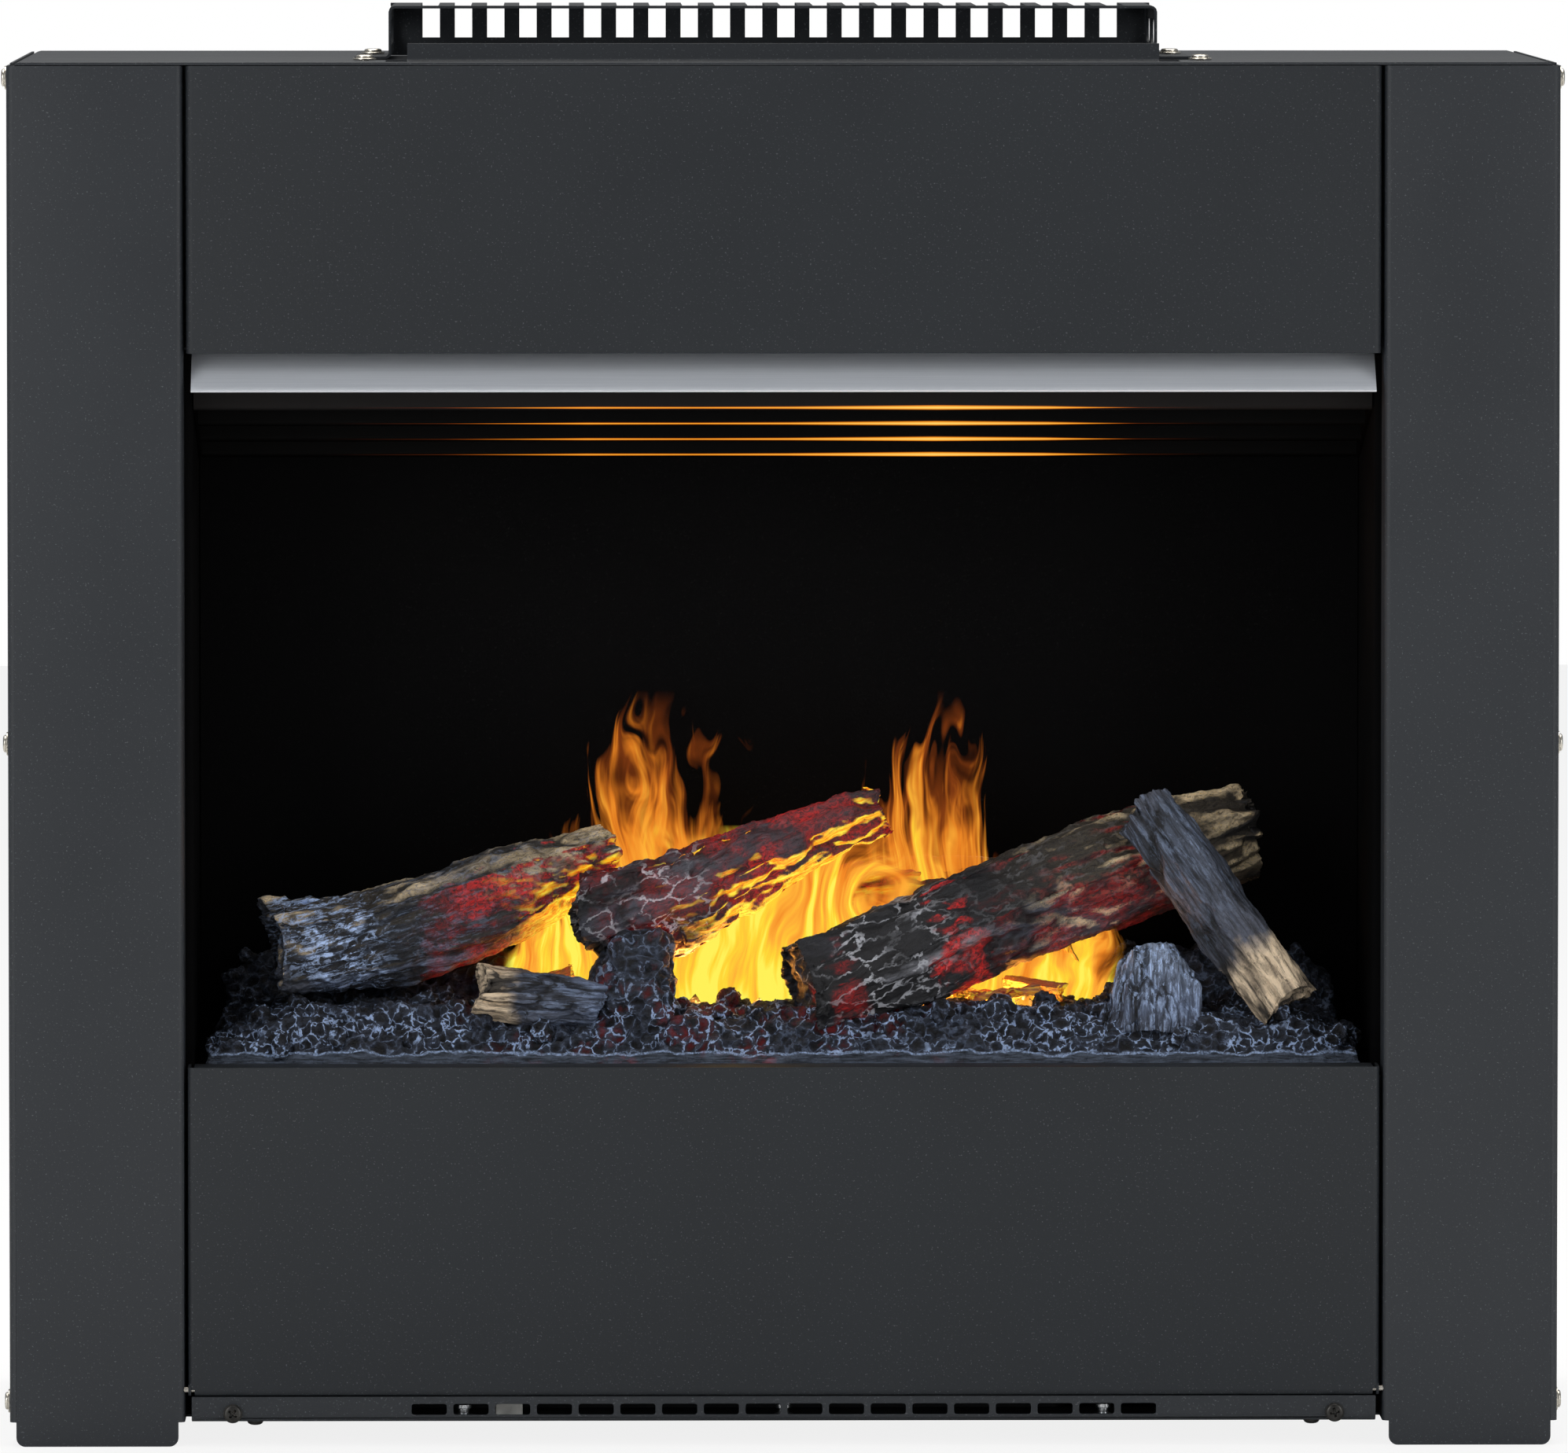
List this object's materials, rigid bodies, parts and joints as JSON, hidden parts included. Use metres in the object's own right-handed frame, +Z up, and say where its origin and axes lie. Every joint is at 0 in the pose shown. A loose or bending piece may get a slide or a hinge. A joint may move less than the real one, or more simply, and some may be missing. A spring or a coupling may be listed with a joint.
{
  "type": "fireplace insert",
  "caption": "Built-in electric fireplace: folded steel casing with drop-down flap, open firebox with moulded logs over a mist unit, fan heater behind a stepped louvre.",
  "frame": {"origin": "centre of the footprint on the hearth", "axes": "+X across the front to the right as seen from the room, +Y from the room towards the wall, +Z up"},
  "size_m": [0.6914, 0.3122, 0.637],
  "materials": {
    "coat": "fine textured powder coat",
    "firebox_black": "matte black paint",
    "galvanised": "galvanised",
    "trim": "satin grey",
    "nickel": "nickel plate",
    "ember_bed": "moulded resin, painted charcoal with pale ash",
    "log_bark": "moulded resin, painted bark",
    "log_charred": "moulded resin, painted charred wood",
    "tank": "smoky translucent",
    "black_plastic": "fine spark texture",
    "white_plastic": "satin",
    "element": "heat tinted fins",
    "motor": "plain steel can",
    "brass": "turned"
  },
  "bodies": {
    "casing": {"base_screw_left": "nickel", "base_screw_right": "nickel", "base_tray": "coat", "blower_motor": "motor", "cable_gland": "black_plastic", "casing_back": "galvanised", "casing_side_left": "coat", "casing_side_right": "coat", "casing_top": "coat", "column_left": "coat", "column_right": "coat", "control_box": "white_plastic", "firebox_back": "firebox_black", "firebox_deck": "firebox_black", "firebox_wall_left": "firebox_black", "firebox_wall_right": "firebox_black", "flap_pin_left": "nickel", "flap_pin_right": "nickel", "guard_screw_1": "nickel", "guard_screw_2": "nickel", "heater_duct": "galvanised", "heater_shelf": "galvanised", "heating_element": "element", "lamp_bar_front": "white_plastic", "lamp_bar_rear": "white_plastic", "mist_duct": "black_plastic", "mist_fan_housing": "black_plastic", "outlet_louvre": "firebox_black", "side_screw_left_1": "nickel", "side_screw_left_2": "nickel", "side_screw_left_3": "nickel", "side_screw_right_1": "nickel", "side_screw_right_2": "nickel", "side_screw_right_3": "nickel", "sump": "black_plastic", "switch_plate": "galvanised", "top_front_panel": "coat", "top_guard": "coat", "top_screw_1": "nickel", "top_screw_2": "nickel", "transducer": "brass", "trim_bar": "trim"},
    "flap": {"access_flap": "coat"},
    "log_set": {"fuel_bed": "ember_bed", "log_rear": "log_charred", "log_left": "log_bark", "log_middle": "log_charred", "log_right": "log_bark", "charred_stump": "log_charred", "log_split": "log_charred", "sawn_log_piece": "log_charred"},
    "tank": {"water_tank": "tank"},
    "cap": {"tank_cap": "black_plastic"},
    "tab_left": {"turn_tab_left": "black_plastic"},
    "tab_right": {"turn_tab_right": "black_plastic"},
    "key_main": {"rocker_main": "black_plastic"},
    "key_flame": {"rocker_flame": "black_plastic"},
    "key_heat": {"rocker_heat": "black_plastic"},
    "drum": {"blower_rotor": "black_plastic"},
    "mist_impeller": {"mist_fan_impeller": "black_plastic"}
  },
  "joints": [
    {"name": "flap_hinge", "type": "hinge", "parent": "casing", "child": "flap", "pos_m": [0, -0.1521, 0.0251], "axis": [1, 0, 0], "range_deg": [0, 90]},
    {"name": "log_set_lift", "type": "slide", "parent": "casing", "child": "log_set", "axis": [0, 0, 1], "range_m": [0, 0.1]},
    {"name": "tank_lift", "type": "slide", "parent": "casing", "child": "tank", "axis": [0, 0, 1], "range_m": [0, 0.012]},
    {"name": "tank_cap_turn", "type": "hinge", "parent": "tank", "child": "cap", "pos_m": [-0.14975, -0.0699, 0.044], "axis": [0, 0, 1], "range_deg": [0, 90]},
    {"name": "tab_left_turn", "type": "hinge", "parent": "casing", "child": "tab_left", "pos_m": [-0.06, -0.1129, 0.06], "axis": [0, 0, 1], "range_deg": [0, 90]},
    {"name": "tab_right_turn", "type": "hinge", "parent": "casing", "child": "tab_right", "pos_m": [0.096, -0.1129, 0.06], "axis": [0, 0, 1], "range_deg": [0, 90]},
    {"name": "rocker_main_press", "type": "hinge", "parent": "casing", "child": "key_main", "pos_m": [0.172, -0.1149, 0.13], "axis": [1, 0, 0], "range_deg": [0, 14]},
    {"name": "rocker_flame_press", "type": "hinge", "parent": "casing", "child": "key_flame", "pos_m": [0.202, -0.1149, 0.13], "axis": [1, 0, 0], "range_deg": [0, 14]},
    {"name": "rocker_heat_press", "type": "hinge", "parent": "casing", "child": "key_heat", "pos_m": [0.232, -0.1149, 0.13], "axis": [1, 0, 0], "range_deg": [0, 14]},
    {"name": "drum_spin", "type": "hinge", "parent": "casing", "child": "drum", "pos_m": [0, -0.0369, 0.55], "axis": [1, 0, 0], "continuous": true},
    {"name": "mist_fan_spin", "type": "hinge", "parent": "casing", "child": "mist_impeller", "pos_m": [0.132, -0.0699, 0.094], "axis": [1, 0, 0], "continuous": true}
  ]
}
